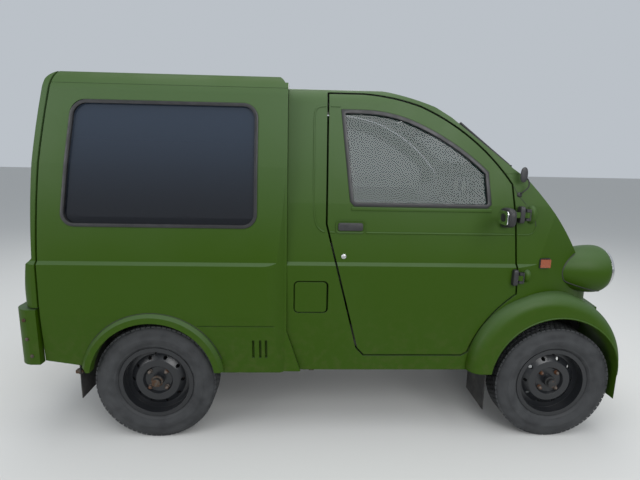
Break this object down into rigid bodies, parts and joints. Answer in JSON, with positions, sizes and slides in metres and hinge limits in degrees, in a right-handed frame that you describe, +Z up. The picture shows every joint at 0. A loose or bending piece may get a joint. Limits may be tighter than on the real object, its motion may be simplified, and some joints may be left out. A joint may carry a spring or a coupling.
{
  "type": "micro cargo truck",
  "caption": "Tiny two-seat cargo truck with a narrow cab, round headlamp pods, domed front wings and a closed, glazed load box with a top-hinged hatch.",
  "frame": {"origin": "on the ground, under the middle of the bounding box", "axes": "+X forward, +Y to the vehicle's left, +Z up"},
  "size_m": [2.79, 1.51, 1.65],
  "materials": {
    "body_paint": "satin moss green",
    "underbody": "matt black",
    "chassis_steel": "dusty black",
    "bright_trim": "polished",
    "lamp_glass": "clear",
    "amber_lens": "gloss",
    "red_lens": "gloss",
    "clear_glass": "clear green-grey",
    "dark_glass": "dark tint",
    "black_trim": "matt",
    "plate": "satin",
    "flap_rubber": "matt",
    "engine_cast": "cast",
    "exhaust_steel": "dull",
    "cabin_plastic": "grained",
    "seat_cloth": "woven",
    "wheel_steel": "satin black",
    "tyre": "matt"
  },
  "bodies": {
    "body": {"cab_shell": "body_paint", "nose_panel": "body_paint", "cab_floor": "underbody", "front_wings": "body_paint", "headlamp_pods": "body_paint", "headlamp_rings": "bright_trim", "headlamp_lenses": "lamp_glass", "front_bumper": "body_paint", "turn_lamps": "amber_lens", "windscreen": "clear_glass", "wiper": "black_trim", "wheelhouses": "underbody", "cargo_floor": "underbody", "cargo_sills": "underbody", "rear_wheelhouses": "underbody", "cargo_side_right": "body_paint", "cargo_side_left": "body_paint", "cargo_roof": "body_paint", "cargo_side_glass": "dark_glass", "rear_bumper": "body_paint", "tail_lamps": "red_lens", "number_plates": "plate", "mud_flaps": "flap_rubber", "engine": "engine_cast", "fuel_tank": "underbody", "exhaust": "exhaust_steel", "front_suspension": "chassis_steel", "rear_axle": "chassis_steel", "leaf_springs": "chassis_steel", "chassis_frame": "chassis_steel", "dashboard": "cabin_plastic", "seat_cushions": "seat_cloth", "seat_backs": "seat_cloth", "room_mirror": "cabin_plastic", "door_hinges": "black_trim"},
    "door_right": {"door_right": "body_paint", "door_glass_right": "clear_glass", "mirror_right": "black_trim"},
    "door_left": {"door_left": "body_paint", "door_glass_left": "clear_glass", "mirror_left": "black_trim"},
    "hatch": {"hatch": "body_paint", "hatch_glass": "dark_glass"},
    "fuel_lid": {"fuel_lid": "body_paint"},
    "steering_wheel": {"steering_wheel": "cabin_plastic"},
    "knuckle_right": {"knuckle_right": "chassis_steel"},
    "knuckle_left": {"knuckle_left": "chassis_steel"},
    "wheel_front_right": {"rim_front_right": "wheel_steel", "tyre_front_right": "tyre"},
    "wheel_front_left": {"rim_front_left": "wheel_steel", "tyre_front_left": "tyre"},
    "wheel_rear_right": {"rim_rear_right": "wheel_steel", "tyre_rear_right": "tyre"},
    "wheel_rear_left": {"rim_rear_left": "wheel_steel", "tyre_rear_left": "tyre"}
  },
  "joints": [
    {"name": "steer_right", "type": "hinge", "parent": "body", "child": "knuckle_right", "pos_m": [1.053, -0.535, 0.271], "axis": [0, 0, 1], "range_deg": [-33, 33]},
    {"name": "steer_left", "type": "hinge", "parent": "body", "child": "knuckle_left", "pos_m": [1.053, 0.535, 0.271], "axis": [0, 0, 1], "range_deg": [-33, 33]},
    {"name": "steering_turn", "type": "hinge", "parent": "body", "child": "steering_wheel", "pos_m": [0.514, -0.265, 1.003], "axis": [-0.766, 0, 0.6428], "range_deg": [-500, 500]},
    {"name": "door_right_swing", "type": "hinge", "parent": "body", "child": "door_right", "pos_m": [0.846, -0.617, 0.925], "axis": [0, 0, 1], "range_deg": [0, 65]},
    {"name": "door_left_swing", "type": "hinge", "parent": "body", "child": "door_left", "pos_m": [0.846, 0.617, 0.925], "axis": [0, 0, -1], "range_deg": [0, 65]},
    {"name": "hatch_swing", "type": "hinge", "parent": "body", "child": "hatch", "pos_m": [-1.142, 0, 1.643], "axis": [0, 1, 0], "range_deg": [0, 75]},
    {"name": "fuel_lid_swing", "type": "hinge", "parent": "body", "child": "fuel_lid", "pos_m": [-0.034, -0.586, 0.682], "axis": [0, 0, 1], "range_deg": [0, 80]},
    {"name": "spin_front_right", "type": "hinge", "parent": "knuckle_right", "child": "wheel_front_right", "pos_m": [1.053, -0.555, 0.271], "axis": [0, 1, 0], "continuous": true},
    {"name": "spin_front_left", "type": "hinge", "parent": "knuckle_left", "child": "wheel_front_left", "pos_m": [1.053, 0.555, 0.271], "axis": [0, 1, 0], "continuous": true},
    {"name": "spin_rear_right", "type": "hinge", "parent": "body", "child": "wheel_rear_right", "pos_m": [-0.787, -0.545, 0.271], "axis": [0, 1, 0], "continuous": true},
    {"name": "spin_rear_left", "type": "hinge", "parent": "body", "child": "wheel_rear_left", "pos_m": [-0.787, 0.545, 0.271], "axis": [0, 1, 0], "continuous": true}
  ],
  "couplings": [
    {"joint": "steer_left", "follows": "steer_right", "ratio": 1},
    {"joint": "steering_turn", "follows": "steer_right", "ratio": 15}
  ]
}
